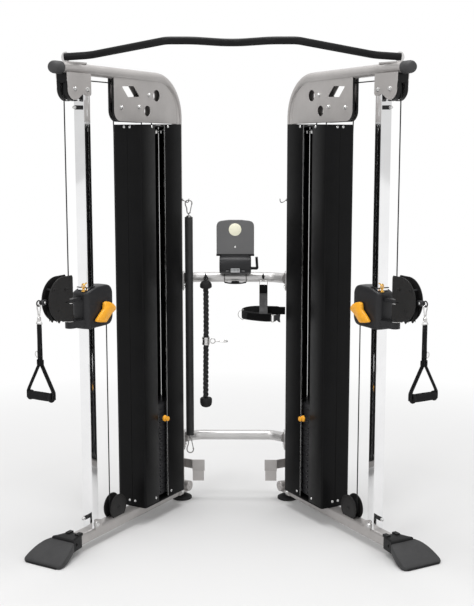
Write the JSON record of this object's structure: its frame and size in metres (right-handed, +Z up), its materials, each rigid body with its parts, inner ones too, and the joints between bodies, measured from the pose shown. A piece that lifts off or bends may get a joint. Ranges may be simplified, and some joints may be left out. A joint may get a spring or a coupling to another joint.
{
  "type": "cable crossover machine",
  "caption": "Cable crossover machine: angled twin cable towers with sliding swivel carriages, shrouded weight stacks, a pull-up bar and a rear accessory rail.",
  "frame": {"origin": "on the floor, under the middle of the whole machine's box", "axes": "+Z up, the user stands on the -Y side, +X to the user's right when facing the machine"},
  "size_m": [1.871, 1.0544, 2.3012],
  "materials": {
    "frame_paint": "satin warm silver-grey",
    "chrome": "polished",
    "plate_paint": "satin black",
    "rubber": "matte",
    "housing_plastic": "fine grain",
    "shroud_paint": "fine textured black",
    "pulley_plastic": "moulded",
    "amber_plastic": "satin",
    "cable_sheath": "nylon sheath over steel rope",
    "webbing": "woven webbing, rope and foam",
    "placard_paint": "matte dark grey"
  },
  "bodies": {
    "frame": {"pull_up_bar": "rubber", "upper_cross_tube": "frame_paint", "lower_cross_tube": "frame_paint", "placard_holder": "housing_plastic", "placard_panel": "placard_paint", "base_beam_left": "frame_paint", "front_foot_left": "rubber", "rear_foot_left": "rubber", "frame_tube_left": "frame_paint", "tube_end_grip_left": "rubber", "column_left": "chrome", "weight_stack_left": "plate_paint", "guide_rods_left": "chrome", "shroud_outer_shell_left": "shroud_paint", "shroud_inner_shell_left": "shroud_paint", "cable_front_run_left": "cable_sheath", "cable_rear_run_left": "cable_sheath", "base_beam_right": "frame_paint", "front_foot_right": "rubber", "rear_foot_right": "rubber", "frame_tube_right": "frame_paint", "tube_end_grip_right": "rubber", "column_right": "chrome", "weight_stack_right": "plate_paint", "guide_rods_right": "chrome", "shroud_outer_shell_right": "shroud_paint", "shroud_inner_shell_right": "shroud_paint", "cable_front_run_right": "cable_sheath", "cable_rear_run_right": "cable_sheath"},
    "long_bar": {"long_bar_sleeve": "rubber", "long_bar_core": "chrome"},
    "ankle_cuff": {"ankle_cuff": "webbing"},
    "triceps_rope": {"triceps_rope": "webbing", "rope_upper_end": "rubber", "rope_lower_end": "rubber", "rope_snap_hook": "chrome"},
    "carriage_left": {"carriage_housing_left": "housing_plastic"},
    "lever_left": {"release_lever_left": "amber_plastic"},
    "arm_left": {"swivel_arm_left": "housing_plastic"},
    "swivel_wheel_left": {"swivel_pulley_left": "pulley_plastic"},
    "front_wheel_left": {"front_top_pulley_left": "pulley_plastic"},
    "rear_wheel_left": {"rear_top_pulley_left": "pulley_plastic"},
    "bottom_wheel_left": {"bottom_pulley_left": "pulley_plastic"},
    "lifted_left": {"lifted_plates_left": "plate_paint"},
    "pin_left": {"selector_pin_left": "amber_plastic"},
    "cable_end_left": {"cable_end_left": "housing_plastic"},
    "hook_left": {"handle_carabiner_left": "chrome"},
    "handle_left": {"handle_left": "webbing"},
    "carriage_right": {"carriage_housing_right": "housing_plastic"},
    "lever_right": {"release_lever_right": "amber_plastic"},
    "arm_right": {"swivel_arm_right": "housing_plastic"},
    "swivel_wheel_right": {"swivel_pulley_right": "pulley_plastic"},
    "front_wheel_right": {"front_top_pulley_right": "pulley_plastic"},
    "rear_wheel_right": {"rear_top_pulley_right": "pulley_plastic"},
    "bottom_wheel_right": {"bottom_pulley_right": "pulley_plastic"},
    "lifted_right": {"lifted_plates_right": "plate_paint"},
    "pin_right": {"selector_pin_right": "amber_plastic"},
    "cable_end_right": {"cable_end_right": "housing_plastic"},
    "hook_right": {"handle_carabiner_right": "chrome"},
    "handle_right": {"handle_right": "webbing"}
  },
  "joints": [
    {"name": "carriage_slide_left", "type": "slide", "parent": "frame", "child": "carriage_left", "axis": [0, 0, 1], "range_m": [-0.7, 0.7], "deforming": ["cable_front_run_left", "cable_rear_run_left"]},
    {"name": "lever_squeeze_left", "type": "hinge", "parent": "carriage_left", "child": "lever_left", "pos_m": [-0.57017, -0.12908, 1.118], "axis": [0.866, -0.5, 0], "range_deg": [-30, 0], "stiffness_Nm_per_rad": 0.6, "springref_deg": 17.19},
    {"name": "arm_swivel_left", "type": "hinge", "parent": "carriage_left", "child": "arm_left", "pos_m": [-0.7234, -0.30388, 1.187], "axis": [0, 0, 1], "range_deg": [-80, 80]},
    {"name": "swivel_pulley_spin_left", "type": "hinge", "parent": "arm_left", "child": "swivel_wheel_left", "pos_m": [-0.74415, -0.33982, 1.2285], "axis": [0.866, -0.5, 0], "continuous": true},
    {"name": "front_top_pulley_spin_left", "type": "hinge", "parent": "frame", "child": "front_wheel_left", "pos_m": [-0.70265, -0.26794, 2.093], "axis": [0.866, -0.5, 0], "continuous": true},
    {"name": "rear_top_pulley_spin_left", "type": "hinge", "parent": "frame", "child": "rear_wheel_left", "pos_m": [-0.4174, 0.22612, 2.077], "axis": [0.866, -0.5, 0], "continuous": true},
    {"name": "bottom_pulley_spin_left", "type": "hinge", "parent": "frame", "child": "bottom_wheel_left", "pos_m": [-0.56815, -0.03498, 0.131], "axis": [0.866, -0.5, 0], "continuous": true},
    {"name": "stack_lift_left", "type": "slide", "parent": "frame", "child": "lifted_left", "axis": [0, 0, 1], "range_m": [0, 0.7]},
    {"name": "pin_pull_left", "type": "slide", "parent": "lifted_left", "child": "pin_left", "axis": [0.866, -0.5, 0], "range_m": [0, 0.075]},
    {"name": "cable_pull_left", "type": "slide", "parent": "arm_left", "child": "cable_end_left", "axis": [-0.5, -0.866, 0], "range_m": [0, 1.4]},
    {"name": "hook_swing_left", "type": "hinge", "parent": "cable_end_left", "child": "hook_left", "pos_m": [-0.8249, -0.47969, 1.187], "axis": [0.866, -0.5, 0], "range_deg": [-80, 20]},
    {"name": "handle_twist_left", "type": "hinge", "parent": "hook_left", "child": "handle_left", "pos_m": [-0.8249, -0.47969, 1.097], "axis": [0, 0, 1], "range_deg": [-90, 90]},
    {"name": "carriage_slide_right", "type": "slide", "parent": "frame", "child": "carriage_right", "axis": [0, 0, 1], "range_m": [-0.7, 0.7], "deforming": ["cable_front_run_right", "cable_rear_run_right"]},
    {"name": "lever_squeeze_right", "type": "hinge", "parent": "carriage_right", "child": "lever_right", "pos_m": [0.57017, -0.12908, 1.118], "axis": [0.866, 0.5, 0], "range_deg": [-30, 0], "stiffness_Nm_per_rad": 0.6, "springref_deg": 17.19},
    {"name": "arm_swivel_right", "type": "hinge", "parent": "carriage_right", "child": "arm_right", "pos_m": [0.7234, -0.30388, 1.187], "axis": [0, 0, 1], "range_deg": [-80, 80]},
    {"name": "swivel_pulley_spin_right", "type": "hinge", "parent": "arm_right", "child": "swivel_wheel_right", "pos_m": [0.74415, -0.33982, 1.2285], "axis": [0.866, 0.5, 0], "continuous": true},
    {"name": "front_top_pulley_spin_right", "type": "hinge", "parent": "frame", "child": "front_wheel_right", "pos_m": [0.70265, -0.26794, 2.093], "axis": [0.866, 0.5, 0], "continuous": true},
    {"name": "rear_top_pulley_spin_right", "type": "hinge", "parent": "frame", "child": "rear_wheel_right", "pos_m": [0.4174, 0.22612, 2.077], "axis": [0.866, 0.5, 0], "continuous": true},
    {"name": "bottom_pulley_spin_right", "type": "hinge", "parent": "frame", "child": "bottom_wheel_right", "pos_m": [0.56815, -0.03498, 0.131], "axis": [0.866, 0.5, 0], "continuous": true},
    {"name": "stack_lift_right", "type": "slide", "parent": "frame", "child": "lifted_right", "axis": [0, 0, 1], "range_m": [0, 0.7]},
    {"name": "pin_pull_right", "type": "slide", "parent": "lifted_right", "child": "pin_right", "axis": [-0.866, -0.5, 0], "range_m": [0, 0.075]},
    {"name": "cable_pull_right", "type": "slide", "parent": "arm_right", "child": "cable_end_right", "axis": [0.5, -0.866, 0], "range_m": [0, 1.4]},
    {"name": "hook_swing_right", "type": "hinge", "parent": "cable_end_right", "child": "hook_right", "pos_m": [0.8249, -0.47969, 1.187], "axis": [0.866, 0.5, 0], "range_deg": [-80, 20]},
    {"name": "handle_twist_right", "type": "hinge", "parent": "hook_right", "child": "handle_right", "pos_m": [0.8249, -0.47969, 1.097], "axis": [0, 0, 1], "range_deg": [-90, 90]},
    {"name": "long_bar_swing", "type": "hinge", "parent": "frame", "child": "long_bar", "pos_m": [-0.2295, 0.4287, 1.5487], "axis": [1, 0, 0], "range_deg": [-30, 1]},
    {"name": "triceps_rope_swing", "type": "hinge", "parent": "frame", "child": "triceps_rope", "pos_m": [-0.146, 0.4287, 1.1725], "axis": [1, 0, 0], "range_deg": [-30, 2]},
    {"name": "ankle_cuff_swing", "type": "hinge", "parent": "frame", "child": "ankle_cuff", "pos_m": [0.146, 0.4287, 1.1745], "axis": [1, 0, 0], "range_deg": [-25, 2]}
  ],
  "couplings": [
    {"joint": "cable_pull_left", "follows": "stack_lift_left", "ratio": 2},
    {"joint": "swivel_pulley_spin_left", "follows": "stack_lift_left", "rad_per_m": -48.193},
    {"joint": "front_top_pulley_spin_left", "follows": "stack_lift_left", "rad_per_m": 48.193},
    {"joint": "rear_top_pulley_spin_left", "follows": "stack_lift_left", "rad_per_m": 48.193},
    {"joint": "bottom_pulley_spin_left", "follows": "carriage_slide_left", "rad_per_m": -24.096},
    {"joint": "cable_pull_right", "follows": "stack_lift_right", "ratio": 2},
    {"joint": "swivel_pulley_spin_right", "follows": "stack_lift_right", "rad_per_m": -48.193},
    {"joint": "front_top_pulley_spin_right", "follows": "stack_lift_right", "rad_per_m": 48.193},
    {"joint": "rear_top_pulley_spin_right", "follows": "stack_lift_right", "rad_per_m": 48.193},
    {"joint": "bottom_pulley_spin_right", "follows": "carriage_slide_right", "rad_per_m": -24.096}
  ]
}
